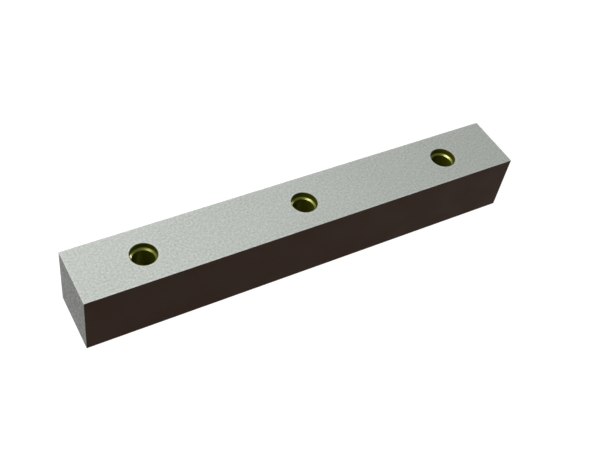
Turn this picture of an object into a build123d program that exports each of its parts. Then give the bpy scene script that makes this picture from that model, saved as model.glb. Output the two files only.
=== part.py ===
# Stator knife: the fixed blade of a granulator or shredder.
#
# It is one ground bar of tool steel. Its long upper edges are the cutting
# edges, so they stay sharp and have no chamfer. Three tapped holes in a row
# take the screws that pull the knife against its seat in the machine.
# The origin is in the middle of the resting face, +X runs along the bar and
# +Z points out of the stepped mouths of the holes. Sizes are in millimetres.

import os

from build123d import *

# The bar
bar_length = 225.0
bar_width = 30.0
bar_height = 32.0

# The row of holes, on the centreline of the bar
hole_count = 3
hole_pitch = 80.0

# One hole: tapping size for a fine M12 x 1.5 thread, all the way through
bore_diameter = 10.5

# The stepped mouth. A larger drill clears the first turns of the thread,
# and its point leaves a cone between the two diameters.
relief_diameter = 12.5
relief_depth = 3.0
drill_point_angle = 120.0

# Where the bore comes out underneath, its edge is broken
exit_chamfer = 1.0

with BuildPart() as stator_knife:
    # The bar stands on its resting face
    Box(
        bar_length,
        bar_width,
        bar_height,
        align=(Align.CENTER, Align.CENTER, Align.MIN),
    )

    # The step of each hole lies at the depth where the larger drill stopped.
    # The feature clears its own way up to the mouth from there.
    mouth_face = stator_knife.faces().sort_by(Axis.Z)[-1]
    step_plane = Plane(mouth_face).offset(-relief_depth)
    with Locations(step_plane):
        with GridLocations(hole_pitch, 0, hole_count, 1):
            CounterSinkHole(
                radius=bore_diameter / 2,
                counter_sink_radius=relief_diameter / 2,
                counter_sink_angle=drill_point_angle,
            )

    # The only round edges on the resting face are the ends of the bores
    resting_face = stator_knife.faces().sort_by(Axis.Z)[0]
    chamfer(
        resting_face.edges().filter_by(GeomType.CIRCLE),
        length=exit_chamfer,
    )

stator_knife.part.label = "stator_knife"

os.makedirs("parts", exist_ok=True)
export_step(stator_knife.part, "parts/stator_knife.step")
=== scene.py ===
# %% [markdown]
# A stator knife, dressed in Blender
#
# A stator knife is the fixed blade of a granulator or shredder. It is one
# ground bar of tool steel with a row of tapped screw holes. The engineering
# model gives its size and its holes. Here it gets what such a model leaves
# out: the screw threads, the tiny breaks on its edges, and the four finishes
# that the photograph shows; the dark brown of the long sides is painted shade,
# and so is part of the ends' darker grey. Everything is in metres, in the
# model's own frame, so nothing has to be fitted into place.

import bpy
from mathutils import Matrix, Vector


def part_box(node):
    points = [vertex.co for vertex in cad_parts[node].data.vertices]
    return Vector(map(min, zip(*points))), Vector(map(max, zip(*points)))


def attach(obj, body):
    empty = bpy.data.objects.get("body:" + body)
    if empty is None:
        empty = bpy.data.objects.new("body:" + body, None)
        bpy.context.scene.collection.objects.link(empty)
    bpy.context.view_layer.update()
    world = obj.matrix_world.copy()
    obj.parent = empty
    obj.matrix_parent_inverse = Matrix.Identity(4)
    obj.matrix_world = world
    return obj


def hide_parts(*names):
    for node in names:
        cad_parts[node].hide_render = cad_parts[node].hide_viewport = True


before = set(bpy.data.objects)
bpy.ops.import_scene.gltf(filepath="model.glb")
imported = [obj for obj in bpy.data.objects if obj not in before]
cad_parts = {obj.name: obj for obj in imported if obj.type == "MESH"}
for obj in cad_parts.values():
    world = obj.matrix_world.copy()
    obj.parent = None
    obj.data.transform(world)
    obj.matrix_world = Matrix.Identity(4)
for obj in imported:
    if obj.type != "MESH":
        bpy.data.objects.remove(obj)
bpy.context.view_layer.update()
print("packed nodes:", sorted(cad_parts))

# %% Read the size of the bar
import math

import bmesh
import bpy
from mathutils import Quaternion, Vector

MM = 0.001
low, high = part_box("stator_knife")
bar_length, bar_width, bar_height = high - low
print("bar in mm:", [round(side / MM, 2) for side in high - low])

# %% [markdown]
# The camera
#
# A photograph of a box tells where its camera stood: the edges run together
# towards the back, and how fast they do so gives the distance and the lens.
# The camera here stands at that place. It is aimed at a point on the upper
# face and then rolled about its own line of sight, because the photographer
# held it a little tilted. Aim and roll are easier to read and to change than
# three angles of rotation.

# %% Camera
camera_place = Vector((-0.18250, -0.23939, 0.34819))
aim_point = Vector((-0.00875, -0.01156, 0.03200))
camera_roll = math.radians(11.03)
camera_lens = 56.31

camera_data = bpy.data.cameras.new("camera")
camera_data.lens = camera_lens
camera_data.sensor_width = 36.0
camera_data.clip_start, camera_data.clip_end = 0.01, 100.0
camera = bpy.data.objects.new("camera", camera_data)
camera.rotation_mode = "QUATERNION"
camera.location = camera_place
line_of_sight = aim_point - camera_place
camera.rotation_quaternion = line_of_sight.to_track_quat("-Z", "Y") @ Quaternion((0, 0, 1), camera_roll)
bpy.context.scene.collection.objects.link(camera)
bpy.context.scene.camera = camera
bpy.context.scene.view_settings.view_transform = "Standard"
print("camera to knife:", round(line_of_sight.length, 3), "m")

# %% [markdown]
# Helpers for node trees
#
# Materials are built from nodes, and most of the work is adding a node and
# joining it to others. These small helpers keep that to one line each. An
# input can be given as a number, a colour or another node's output.

# %% Helpers for node trees
def plug(tree, socket, value):
    if isinstance(value, bpy.types.NodeSocket):
        tree.links.new(value, socket)
    else:
        socket.default_value = value


def add(tree, kind, inputs=None, **settings):
    node = tree.nodes.new(kind)
    for name, value in settings.items():
        setattr(node, name, value)
    for name, value in (inputs or {}).items():
        plug(tree, node.inputs[name], value)
    return node


def calc(tree, operation, *values):
    node = tree.nodes.new("ShaderNodeMath")
    node.operation = operation
    for socket, value in zip(node.inputs, values):
        plug(tree, socket, value)
    return node.outputs[0]


def fresh_tree(owner):
    owner.use_nodes = True
    owner.node_tree.nodes.clear()
    return owner.node_tree

# %% [markdown]
# The room: a white world
#
# The knife stands in a white room. What the camera and shiny metal see of the
# room is pure white, and what lights the knife is a much weaker even glow, so
# that its colours aren't washed out. Light Path tells the two apart: it knows
# if a ray comes from the camera, from a gloss or from a matt surface.

# %% World
room_white = (1.0, 1.0, 1.0, 1.0)
room_glow = 0.10


def sees_backdrop(tree):
    path = add(tree, "ShaderNodeLightPath")
    shiny = calc(tree, "MAXIMUM", path.outputs["Is Glossy Ray"], path.outputs["Is Transmission Ray"])
    return calc(tree, "MAXIMUM", path.outputs["Is Camera Ray"], shiny)


world = bpy.data.worlds.new("white_room")
bpy.context.scene.world = world
tree = fresh_tree(world)
levels = {"Value": sees_backdrop(tree), "To Min": room_glow, "To Max": 1.0}
strength = add(tree, "ShaderNodeMapRange", levels).outputs["Result"]
backdrop = add(tree, "ShaderNodeBackground", {"Color": room_white, "Strength": strength})
add(tree, "ShaderNodeOutputWorld", {"Surface": backdrop.outputs["Background"]})
print("world glow on matt surfaces:", room_glow)

# %% [markdown]
# The floor
#
# A studio table of pale paper. The photograph shows it burnt out to white, so
# to the camera and to shiny metal it glows by itself, and only the rest of its
# brightness comes from the lamps: that part keeps the knife's soft shadow.
# Right under the knife the paper lies in the dark and mustn't glow, or the
# screw holes would be lit from below. Ambient Occlusion finds that place: it
# is nearly nought there and a half or more at any point outside. The floor is
# very large, so that no edge of it comes into a low view.

# %% Floor
floor_size = 40.0
floor_gap = 0.02 * MM
paper_bounce = (0.45, 0.45, 0.445, 1.0)
paper_seen = (0.16, 0.16, 0.16, 1.0)
paper_glow = 0.975
cover_reach = 0.1
covered, uncovered = 0.1, 0.3

shape = bmesh.new()
bmesh.ops.create_grid(shape, x_segments=1, y_segments=1, size=floor_size / 2)
bmesh.ops.translate(shape, vec=(0, 0, low.z - floor_gap), verts=shape.verts)
floor_mesh = bpy.data.meshes.new("floor")
shape.to_mesh(floor_mesh)
shape.free()
floor = bpy.data.objects.new("floor", floor_mesh)
bpy.context.scene.collection.objects.link(floor)

paper = bpy.data.materials.new("pale_paper")
tree = fresh_tree(paper)
bounced = add(tree, "ShaderNodeBsdfDiffuse", {"Color": paper_bounce})
lit = add(tree, "ShaderNodeBsdfDiffuse", {"Color": paper_seen})
openness = add(tree, "ShaderNodeAmbientOcclusion", {"Distance": cover_reach}).outputs["AO"]
levels = {"Value": openness, "From Min": covered, "From Max": uncovered, "To Max": paper_glow}
strength = add(tree, "ShaderNodeMapRange", levels).outputs["Result"]
glow = add(tree, "ShaderNodeEmission", {"Color": room_white, "Strength": strength})
seen = add(tree, "ShaderNodeAddShader")
tree.links.new(lit.outputs["BSDF"], seen.inputs[0])
tree.links.new(glow.outputs["Emission"], seen.inputs[1])
choice = add(tree, "ShaderNodeMixShader", {"Fac": sees_backdrop(tree)})
tree.links.new(bounced.outputs["BSDF"], choice.inputs[1])
tree.links.new(seen.outputs["Shader"], choice.inputs[2])
add(tree, "ShaderNodeOutputMaterial", {"Surface": choice.outputs["Shader"]})
floor_mesh.materials.append(paper)
print("floor", floor_size, "m square at z =", round(floor.data.vertices[0].co.z, 5))

# %% [markdown]
# Two softboxes and three cards
#
# How a photograph's upper face fades tells where its lights hung: here one is
# a softbox close above the left half of the knife, and a smaller one far to
# the right keeps the right end from going dark. The cones in the three holes
# act as small mirrors, and their glints sit in nearly the same place in all
# three, so what they show is far away. The softboxes are therefore kept out of
# the reflections, and three cards are mirrored instead: a wide one, over two
# metres up behind the left end, for the long glints, a dim one further back
# for their soft tails, and a small one to the right, for the short glint on
# the left side of each cone. The cards are only there for that, so they light
# no matt surface. The camera sees none of them.

# %% Lamps
knife_middle = Vector((-0.02, 0.0, 0.02))


def add_softbox(name, place, length, width, power):
    lamp = bpy.data.lights.new(name, type="AREA")
    lamp.shape = "RECTANGLE"
    lamp.size, lamp.size_y = length, width
    lamp.energy = power
    softbox = bpy.data.objects.new(name, lamp)
    softbox.location = place
    softbox.rotation_mode = "QUATERNION"
    softbox.rotation_quaternion = (knife_middle - Vector(place)).to_track_quat("-Z", "Y")
    softbox.visible_camera = False
    bpy.context.scene.collection.objects.link(softbox)
    print(name, "power", power, "W")
    return softbox


near_softbox = add_softbox("near_softbox", (-0.10, 0.05, 0.27), 0.30, 0.30, 0.67)
right_softbox = add_softbox("right_softbox", (1.26, 0.10, 0.84), 0.12, 0.12, 2.3)
glint_card = add_softbox("glint_card", (-0.69, 0.28, 2.27), 1.30, 1.00, 111.0)
back_card = add_softbox("back_card", (-0.90, 1.40, 2.10), 1.20, 1.20, 16.0)
right_card = add_softbox("right_card", (1.24, 0.16, 0.84), 0.28, 0.28, 10.0)
for softbox in (near_softbox, right_softbox):
    softbox.visible_glossy = False
for card in (glint_card, back_card, right_card):
    card.visible_diffuse = False

# %% [markdown]
# The blank
#
# The bar starts as a cube of unit size, stretched to the box of the packed
# model. A ground bar has sharp edges, but never knife sharp all round: the
# grinder's operator takes the burr off with a stone. The bevel is that stone,
# a seventh of a millimetre wide, and it gives each edge a thin line of light.

# %% Blank
edge_break = 0.14 * MM


def piece_from(shape, name):
    mesh = bpy.data.meshes.new(name)
    shape.to_mesh(mesh)
    shape.free()
    piece = bpy.data.objects.new(name, mesh)
    bpy.context.scene.collection.objects.link(piece)
    return piece


shape = bmesh.new()
bmesh.ops.create_cube(shape, size=1.0)
bmesh.ops.scale(shape, vec=high - low, verts=shape.verts)
bmesh.ops.translate(shape, vec=(low + high) / 2, verts=shape.verts)
bmesh.ops.bevel(shape, geom=shape.edges[:], affect="EDGES", offset=edge_break,
                offset_type="OFFSET", segments=2, profile=0.5, material=-1)
print("blank:", len(shape.faces), "faces,", round(shape.calc_volume() / MM**3), "cubic mm")
blank = piece_from(shape, "blank")

# %% [markdown]
# The drill and the countersink
#
# Each hole is cut the way the workshop cuts it: a tool is modelled as the
# space that it clears, and a Boolean takes that space away. The mouth is a
# 12.5 mm drill run 3 mm deep, whose 120 degree point leaves the cone. The
# drill's corner is a little worn, so wall and cone meet in a small hollow
# round, and the cone's shine fades softly towards the wall. A profile is drawn
# as a few points and spun round the hole's axis, and the worn corner is a bevel
# on one ring of edges. A bevel is told its width along the faces, so the width
# is worked out from the round's radius and from how far the corner turns. Both
# tools reach a little past the bar, so that no two faces lie in one plane.

# %% Drill and countersink
hole_pitch = 80 * MM
hole_places = (-hole_pitch, 0.0, hole_pitch)
mouth_radius = 6.25 * MM
mouth_depth = 3.0 * MM
bore_radius = 5.25 * MM
exit_break = 1.0 * MM
spin_steps = 96
overrun = 0.5 * MM
same_place = 0.001 * MM
half_point = math.radians(120 / 2)
slope_of_point = math.tan(half_point)
worn_corner = 0.3 * MM
corner_width = worn_corner * math.tan(half_point / 2)
corner_steps = 8


def spin_profile(profile):
    shape = bmesh.new()
    points = [shape.verts.new((radius, 0, z)) for radius, z in profile]
    edges = [shape.edges.new(pair) for pair in zip(points, points[1:])]
    bmesh.ops.spin(shape, geom=points + edges, cent=(0, 0, 0), axis=(0, 0, 1),
                   angle=math.tau, steps=spin_steps, use_merge=True)
    bmesh.ops.remove_doubles(shape, verts=shape.verts, dist=same_place)
    bmesh.ops.recalc_face_normals(shape, faces=shape.faces)
    return shape


top, bottom = high.z, low.z
step = top - mouth_depth
drill = spin_profile([
    (0, top + overrun),
    (mouth_radius + edge_break + overrun, top + overrun),
    (mouth_radius, top - edge_break),
    (mouth_radius, step),
    (0, step - mouth_radius / slope_of_point),
])
corner = [edge for edge in drill.edges if all(abs(v.co.z - step) < same_place for v in edge.verts)]
bmesh.ops.bevel(drill, geom=corner, affect="EDGES", offset=corner_width, offset_type="OFFSET",
                segments=corner_steps, profile=0.5, material=-1)
countersink = spin_profile([
    (0, bottom + bore_radius + exit_break),
    (bore_radius + exit_break + overrun, bottom - overrun),
    (0, bottom - overrun),
])
print("drill clears", round(drill.calc_volume() / MM**3), "cubic mm")

# %% [markdown]
# The tap
#
# The holes take a fine M12 screw from the machine's side, so the lower part
# of each bore has a thread with a pitch of 1.5 mm. Its groove is a 60 degree V
# with a narrow flat at the bottom. The profile of one turn is spun once round,
# and it sinks by one pitch on the way, so it ends exactly where the next turn
# begins. That turn is then copied along the bore and the seams are merged.
# A real tap has tapered first teeth, and its thread fades out over a few
# turns. Here every point of the groove above the full thread is drawn back
# towards the bore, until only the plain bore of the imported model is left.

# %% Tap
pitch = 1.5 * MM
groove_radius = 6.0 * MM
groove_flat = pitch / 8
groove_angle = math.radians(60)
flank = (groove_radius - bore_radius) * math.tan(groove_angle / 2)
full_thread_top = bottom + 14.0 * MM
fade_length = 2.5 * pitch
tap_top = step - 0.05 * MM
tap_bottom = bottom - 0.3 * MM


def one_turn(shape, start):
    ridge_end = start - (pitch - 2 * flank - groove_flat)
    profile = [
        (bore_radius, start),
        (bore_radius, ridge_end),
        (groove_radius, ridge_end - flank),
        (groove_radius, ridge_end - flank - groove_flat),
        (bore_radius, start - pitch),
    ]
    points = [shape.verts.new((radius, 0, z)) for radius, z in profile]
    edges = [shape.edges.new(pair) for pair in zip(points, points[1:])]
    sink = Vector((0, 0, -pitch / spin_steps))
    bmesh.ops.spin(shape, geom=points + edges, cent=(0, 0, 0), axis=(0, 0, 1), dvec=sink,
                   angle=math.tau, steps=spin_steps)


def cut_thread():
    shape = bmesh.new()
    one_turn(shape, tap_top + 1.5 * pitch)
    turn = shape.verts[:] + shape.edges[:] + shape.faces[:]
    for count in range(1, math.ceil((tap_top - tap_bottom) / pitch) + 3):
        copy = bmesh.ops.duplicate(shape, geom=turn)["geom"]
        moved = [item for item in copy if isinstance(item, bmesh.types.BMVert)]
        bmesh.ops.translate(shape, vec=(0, 0, -pitch * count), verts=moved)
    bmesh.ops.remove_doubles(shape, verts=shape.verts, dist=0.005 * MM)
    for point in shape.verts:
        faded = min(max((point.co.z - full_thread_top) / fade_length, 0.0), 1.0)
        radius = math.hypot(point.co.x, point.co.y)
        kept = bore_radius + (radius - bore_radius) * (1 - faded)
        point.co.xy *= kept / radius
    return shape


tap = cut_thread()
print("tap before its ends are cut:", len(tap.faces), "faces")

# %% [markdown]
# Closing the tap
#
# So far the tap is an open tube with ragged ends. Two flat cuts trim it, each
# open ring is filled with one face, and the strips of the plain stretch, which
# lie in one plane, are dissolved into long facets. A Boolean needs a closed
# tool, so that is tested here.

# %% Close the tap
def close_tap(shape):
    for z, side in ((tap_top, 1), (tap_bottom, -1)):
        everything = shape.verts[:] + shape.edges[:] + shape.faces[:]
        bmesh.ops.bisect_plane(shape, geom=everything, dist=same_place, plane_co=(0, 0, z),
                               plane_no=(0, 0, side), clear_outer=True)
    open_edges = [edge for edge in shape.edges if edge.is_boundary]
    bmesh.ops.holes_fill(shape, edges=open_edges, sides=0)
    faded_out = full_thread_top + fade_length
    plain = [edge for edge in shape.edges if min(v.co.z for v in edge.verts) > faded_out]
    bmesh.ops.dissolve_limit(shape, angle_limit=math.radians(0.5), verts=[], edges=plain)
    bmesh.ops.recalc_face_normals(shape, faces=shape.faces)


close_tap(tap)
print("tap:", len(tap.faces), "faces, closed:", all(edge.is_manifold for edge in tap.edges))

# %% [markdown]
# Cutting the holes
#
# The three tools are copied to each hole, and each copy is a Boolean modifier
# on the blank. The finished mesh is then read back with every cut applied.
# Where two tools meet, a Boolean leaves points that lie on top of each other,
# so these are merged, and the result is tested: every edge has exactly two
# faces, which is what makes it a solid.

# %% Cut the holes
tools = []
for x in hole_places:
    for name, tool in (("drill", drill), ("tap", tap), ("countersink", countersink)):
        copy = tool.copy()
        bmesh.ops.translate(copy, vec=(x, 0, 0), verts=copy.verts)
        tools.append(piece_from(copy, name))
for tool in (drill, tap, countersink):
    tool.free()
for tool in tools:
    cut = blank.modifiers.new("cut", "BOOLEAN")
    cut.operation, cut.solver, cut.object = "DIFFERENCE", "MANIFOLD", tool

evaluated = blank.evaluated_get(bpy.context.evaluated_depsgraph_get())
knife_mesh = bpy.data.meshes.new_from_object(evaluated)
knife_mesh.name = "knife_bar"
knife_mesh.materials.clear()
for used in (blank, *tools):
    bpy.data.objects.remove(used)

shape = bmesh.new()
shape.from_mesh(knife_mesh)
bmesh.ops.remove_doubles(shape, verts=shape.verts, dist=0.003 * MM)
print("knife:", len(shape.faces), "faces,", round(shape.calc_volume() / MM**3), "cubic mm")
print("closed:", all(edge.is_manifold for edge in shape.edges))

# %% [markdown]
# Which face is which
#
# The knife has four finishes, and each belongs to a kind of face: the ground
# top and bottom, the two cut ends, darkened in part by painted shade, the two
# long sides in a dark brown of painted shade, and the inside of the holes. One
# number per face, its material index, tells them apart. A face inside a hole is
# found by its distance from the nearest hole's axis, and any other face by the
# way that it points.

# %% Sort the faces
GROUND, END, SIDE, HOLE = range(4)
straight_up = 0.999
along_axis = 0.9
smooth_below = math.radians(20)


def kind_of(face):
    place, normal = face.calc_center_median(), face.normal
    from_axis = min(math.hypot(place.x - x, place.y) for x in hole_places)
    if from_axis < mouth_radius + edge_break and abs(normal.z) < straight_up:
        return HOLE
    if abs(normal.y) > along_axis:
        return SIDE
    if abs(normal.x) > along_axis:
        return END
    return GROUND


counts = [0, 0, 0, 0]
for face in shape.faces:
    face.material_index = kind_of(face)
    face.smooth = True
    counts[face.material_index] += 1
shape.to_mesh(knife_mesh)
shape.free()
knife_mesh.set_sharp_from_angle(angle=smooth_below)
knife = bpy.data.objects.new("knife_bar", knife_mesh)
bpy.context.scene.collection.objects.link(knife)
print("faces that are ground, end, side and hole:", counts)

# %% [markdown]
# Grain, a shared group
#
# No metal surface is one even tone. Grinding and blasting leave a fine grain
# of pits and facets, about a millimetre across here, and handling leaves
# larger, fainter clouds. All four finishes need both, at different sizes, so
# they are one node group with the sizes as its inputs. It reads the place of a
# point on the knife, so the pattern runs on over every edge. A noise texture
# stays close to its middle value, so its swing about nought is stretched.

# %% Grain group
swing_stretch = 5.0


def new_group(name, inputs, outputs):
    group = bpy.data.node_groups.new(name, "ShaderNodeTree")
    for title, kind, value in inputs:
        socket = group.interface.new_socket(title, in_out="INPUT", socket_type=kind)
        if value is not None:
            socket.default_value = value
    for title in outputs:
        group.interface.new_socket(title, in_out="OUTPUT", socket_type="NodeSocketFloat")
    return group, add(group, "NodeGroupInput").outputs, add(group, "NodeGroupOutput").inputs


def noise_swing(tree, place, size, **settings):
    scale = calc(tree, "DIVIDE", 1.0, size)
    noise = add(tree, "ShaderNodeTexNoise", {"Vector": place, "Scale": scale, **settings})
    return calc(tree, "MULTIPLY", calc(tree, "SUBTRACT", noise.outputs["Fac"], 0.5), swing_stretch)


grain, given, told = new_group(
    "metal_grain",
    [
        ("Place", "NodeSocketVector", None),
        ("Grain size", "NodeSocketFloat", 0.5 * MM),
        ("Cloud size", "NodeSocketFloat", 20 * MM),
    ],
    ["Grain", "Clouds"],
)
fine = noise_swing(grain, given["Place"], given["Grain size"], Detail=5.0, Roughness=0.6)
coarse = noise_swing(grain, given["Place"], given["Cloud size"], Detail=3.0, Roughness=0.5)
grain.links.new(fine, told["Grain"])
grain.links.new(coarse, told["Clouds"])
print("grain group:", len(grain.nodes), "nodes")

# %% [markdown]
# Edge wear, a shared group
#
# Handling polishes a bar along its edges first, and screws polish the rims of
# its holes. For a plain box no baking is needed to find them: the distances to
# the nearest end, side and upper or lower face are simple sums, and on any
# face of the box one of the three is nought. The middle one of the three is
# then how far the point is from the nearest edge. The holes repeat along the
# bar, so Ping-Pong folds its length onto a single hole, and the distance from
# that hole's rim follows. A little noise keeps the worn line ragged.

# %% Edge wear group
ragged_scale = 900.0

wear, given, told = new_group(
    "edge_wear",
    [
        ("Place", "NodeSocketVector", None),
        ("Width", "NodeSocketFloat", 1 * MM),
        ("Raggedness", "NodeSocketFloat", 0.5 * MM),
    ],
    ["Worn"],
)
along = add(wear, "ShaderNodeSeparateXYZ", {"Vector": given["Place"]}).outputs
from_middle = calc(wear, "SUBTRACT", along["Z"], (low.z + high.z) / 2)
to_end = calc(wear, "SUBTRACT", bar_length / 2, calc(wear, "ABSOLUTE", along["X"]))
to_side = calc(wear, "SUBTRACT", bar_width / 2, calc(wear, "ABSOLUTE", along["Y"]))
to_top = calc(wear, "SUBTRACT", bar_height / 2, calc(wear, "ABSOLUTE", from_middle))
lesser = calc(wear, "MINIMUM", to_end, to_side)
greater = calc(wear, "MAXIMUM", to_end, to_side)
to_edge = calc(wear, "MAXIMUM", lesser, calc(wear, "MINIMUM", greater, to_top))

folded = calc(wear, "PINGPONG", along["X"], hole_pitch / 2)
flat_place = add(wear, "ShaderNodeCombineXYZ", {"X": folded, "Y": along["Y"]}).outputs["Vector"]
from_axis = add(wear, "ShaderNodeVectorMath", {0: flat_place}, operation="LENGTH").outputs["Value"]
to_rim = calc(wear, "ABSOLUTE", calc(wear, "SUBTRACT", from_axis, mouth_radius + edge_break))

ragged = add(wear, "ShaderNodeTexNoise", {"Vector": given["Place"], "Scale": ragged_scale, "Detail": 3.0})
swing = calc(wear, "SUBTRACT", ragged.outputs["Fac"], 0.5)
nearest = calc(wear, "MINIMUM", to_edge, to_rim)
distance = calc(wear, "MULTIPLY_ADD", swing, given["Raggedness"], nearest)
limits = {"Value": distance, "From Min": given["Width"], "From Max": 0.0}
fade = add(wear, "ShaderNodeMapRange", limits, interpolation_type="SMOOTHSTEP")
wear.links.new(fade.outputs["Result"], told["Worn"])
print("edge wear group:", len(wear.nodes), "nodes")

# %% [markdown]
# A start for each finish
#
# Each material is one Principled shader, told where it is on the knife by
# Object coordinates. Numbers that are the same all over the surface, such as
# how metallic it is, are set on the shader itself, and only what changes from
# place to place comes through nodes. The colour goes from a dark to a light
# one by a tone: a middle value, to which the grain, the clouds and the wear are
# added, each with its own weight. The blend keeps it between 0 and 1.

# %% Start of a finish
def start_finish(name, **fixed):
    material = bpy.data.materials.new(name)
    tree = fresh_tree(material)
    values = {title.replace("_", " "): value for title, value in fixed.items()}
    shader = add(tree, "ShaderNodeBsdfPrincipled", values)
    add(tree, "ShaderNodeOutputMaterial", {"Surface": shader.outputs["BSDF"]})
    place = add(tree, "ShaderNodeTexCoord").outputs["Object"]
    return material, tree, shader, place


def use_group(tree, group, **inputs):
    node = add(tree, "ShaderNodeGroup", node_tree=group)
    for title, value in inputs.items():
        plug(tree, node.inputs[title.replace("_", " ")], value)
    return node.outputs


def mix_tone(tree, middle, *weighed):
    tone = middle
    for mask, weight in weighed:
        tone = calc(tree, "MULTIPLY_ADD", mask, weight, tone)
    return tone


def add_colour(tree, shader, tone, dark, light):
    blend = add(tree, "ShaderNodeMix", data_type="RGBA", clamp_factor=True)
    for title, value in (("Factor", tone), ("A", dark), ("B", light)):
        plug(tree, blend.inputs[title], value)
    tree.links.new(blend.outputs["Result"], shader.inputs["Base Color"])


def add_bump(tree, shader, height, depth):
    bump = add(tree, "ShaderNodeBump", {"Height": height, "Strength": 1.0, "Distance": depth})
    tree.links.new(bump.outputs["Normal"], shader.inputs["Normal"])

# %% [markdown]
# The ground faces
#
# The top and bottom are surface ground and then blasted matt, so they are a
# soft silver grey with a very faint green cast and an even, fine grain. The
# grain lightens and darkens the colour by a few parts in a hundred and also
# tilts the surface a little. Along the edges and round the screw holes the
# steel is rubbed slightly brighter.

# %% Ground steel
ground_dark = (0.370, 0.392, 0.364, 1.0)
ground_light = (0.593, 0.624, 0.580, 1.0)

ground, tree, shader, place = start_finish("ground_tool_steel", Metallic=0.08, Specular_IOR_Level=0.15)
texture = use_group(tree, grain, Place=place, Grain_size=1.0 * MM, Cloud_size=30 * MM)
worn = use_group(tree, wear, Place=place, Width=1.2 * MM, Raggedness=0.8 * MM)["Worn"]
tone = mix_tone(tree, 0.5, (texture["Grain"], 0.5), (texture["Clouds"], 0.04), (worn, 0.2))
add_colour(tree, shader, tone, ground_dark, ground_light)
plug(tree, shader.inputs["Roughness"], calc(tree, "MULTIPLY_ADD", texture["Grain"], 0.06, 0.52))
add_bump(tree, shader, texture["Grain"], 0.006 * MM)
knife_mesh.materials.append(ground)
print("ground steel:", len(tree.nodes), "nodes")

# %% [markdown]
# The cut ends
#
# The ends are sawn and milled rather than ground. They are rougher, and their
# grain is stronger. Their colour is darker than the top's, and part of that is
# painted shade, for the shade that lies on the ends. A few bright specks are
# painted highlights, where a facet of the metal catches the light. The specks
# are the highest peaks of a second noise: Map Range cuts off all that lies
# below them.

# %% Cut ends
# Part of this darker grey is painted shade, for the shade on the ends.
end_dark = (0.142, 0.146, 0.139, 1.0)
end_light = (0.532, 0.547, 0.519, 1.0)
painted_glint_scale = 1500.0
painted_glint_start, painted_glint_full = 0.68, 0.78

cut_end, tree, shader, place = start_finish("cut_end_steel_and_shade", Metallic=0.08, Specular_IOR_Level=0.15)
texture = use_group(tree, grain, Place=place, Grain_size=1.1 * MM, Cloud_size=12 * MM)
worn = use_group(tree, wear, Place=place, Width=0.9 * MM, Raggedness=0.6 * MM)["Worn"]
# Painted highlights: bright specks where a facet of the metal catches the light.
peaks = add(tree, "ShaderNodeTexNoise", {"Vector": place, "Scale": painted_glint_scale, "Detail": 0.0})
limits = {"Value": peaks.outputs["Fac"], "From Min": painted_glint_start, "From Max": painted_glint_full}
painted_glints = add(tree, "ShaderNodeMapRange", limits).outputs["Result"]
tone = mix_tone(
    tree, 0.47, (texture["Grain"], 0.65), (texture["Clouds"], 0.06), (painted_glints, 0.6), (worn, 0.1)
)
add_colour(tree, shader, tone, end_dark, end_light)
plug(tree, shader.inputs["Roughness"], calc(tree, "MULTIPLY_ADD", texture["Grain"], 0.08, 0.55))
add_bump(tree, shader, texture["Grain"], 0.015 * MM)
knife_mesh.materials.append(cut_end)
print("cut ends:", len(tree.nodes), "nodes")

# %% [markdown]
# The brown long sides
#
# The long sides get a dark brown that is painted shade: it stands for the deep
# shade on the near long side, and the far one gets the same. It is nearly even
# in tone and quite dull, with only a little sheen at a slant. Faint blotches a
# centimetre across and a fine tooth keep it from looking like paint, and it is
# a touch lighter where the edges rub.

# %% Brown sides
# Painted shade: this dark brown stands for the shade on the long sides.
brown_dark = (0.045, 0.0215, 0.012, 1.0)
brown_light = (0.072, 0.036, 0.020, 1.0)

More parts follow.
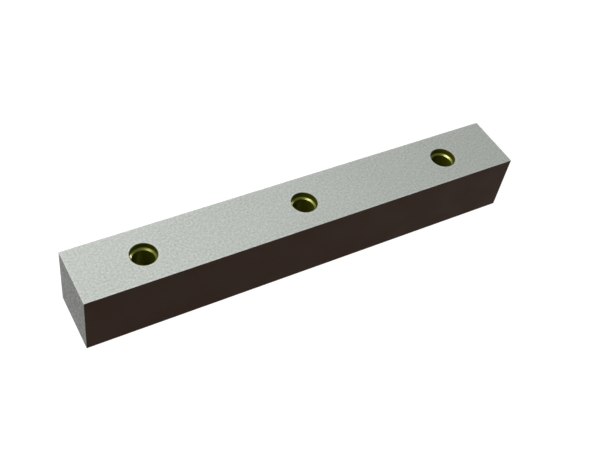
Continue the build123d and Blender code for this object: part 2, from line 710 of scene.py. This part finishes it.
brown, tree, shader, place = start_finish("brown_painted_shade", Metallic=0.0, Specular_IOR_Level=0.08)
texture = use_group(tree, grain, Place=place, Grain_size=0.6 * MM, Cloud_size=14 * MM)
worn = use_group(tree, wear, Place=place, Width=0.5 * MM, Raggedness=0.5 * MM)["Worn"]
tone = mix_tone(tree, 0.5, (texture["Clouds"], 0.12), (texture["Grain"], 0.16), (worn, 0.3))
add_colour(tree, shader, tone, brown_dark, brown_light)
plug(tree, shader.inputs["Roughness"], calc(tree, "MULTIPLY_ADD", texture["Clouds"], 0.05, 0.6))
add_bump(tree, shader, texture["Grain"], 0.004 * MM)
knife_mesh.materials.append(brown)
print("brown sides:", len(tree.nodes), "nodes")

# %% [markdown]
# Inside the holes
#
# The drilled and tapped walls have a brassy olive film, the colour of cutting
# oil baked onto bright steel. Light that bounces from wall to wall is tinted
# again at each bounce, so the depth of the bore goes dark olive. A thin clear
# coat stands for the oil's own gloss and keeps the brightest glint of the cone
# a pale yellow. The walls and the bore are given a paler film than the cone:
# painted light, which lifts the shade deep in the holes, while the cone, which
# mirrors the white room, keeps the deeper tone. Height alone tells the cone
# apart from them.

# %% Hole film
film_deep = (0.064, 0.069, 0.0052, 1.0)
film_pale = (0.156, 0.168, 0.0090, 1.0)
cone_reach = (mouth_radius - bore_radius) / slope_of_point / 2
cone_middle = step - cone_reach
cone_blend = 0.05 * MM

film, tree, shader, place = start_finish(
    "brassy_film", Metallic=0.40, Specular_IOR_Level=0.05, Coat_Weight=0.30, Coat_Roughness=0.2
)
texture = use_group(tree, grain, Place=place, Grain_size=0.5 * MM, Cloud_size=4 * MM)
height = add(tree, "ShaderNodeSeparateXYZ", {"Vector": place}).outputs["Z"]
off_cone = calc(tree, "ABSOLUTE", calc(tree, "SUBTRACT", height, cone_middle))
limits = {"Value": off_cone, "From Min": cone_reach - cone_blend, "From Max": cone_reach + cone_blend}
# Painted light: off the cone the film is paler, to lift the shade in the holes.
painted_wall_light = add(tree, "ShaderNodeMapRange", limits).outputs["Result"]
tone = mix_tone(tree, 0.25, (painted_wall_light, 0.5), (texture["Clouds"], 0.06), (texture["Grain"], 0.03))
add_colour(tree, shader, tone, film_deep, film_pale)
plug(tree, shader.inputs["Roughness"], calc(tree, "MULTIPLY_ADD", texture["Clouds"], 0.03, 0.34))
add_bump(tree, shader, texture["Grain"], 0.002 * MM)
knife_mesh.materials.append(film)
print("hole film:", len(tree.nodes), "nodes")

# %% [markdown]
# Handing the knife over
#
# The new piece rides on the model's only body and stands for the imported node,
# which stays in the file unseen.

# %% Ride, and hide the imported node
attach(knife, "root")
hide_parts("stator_knife")
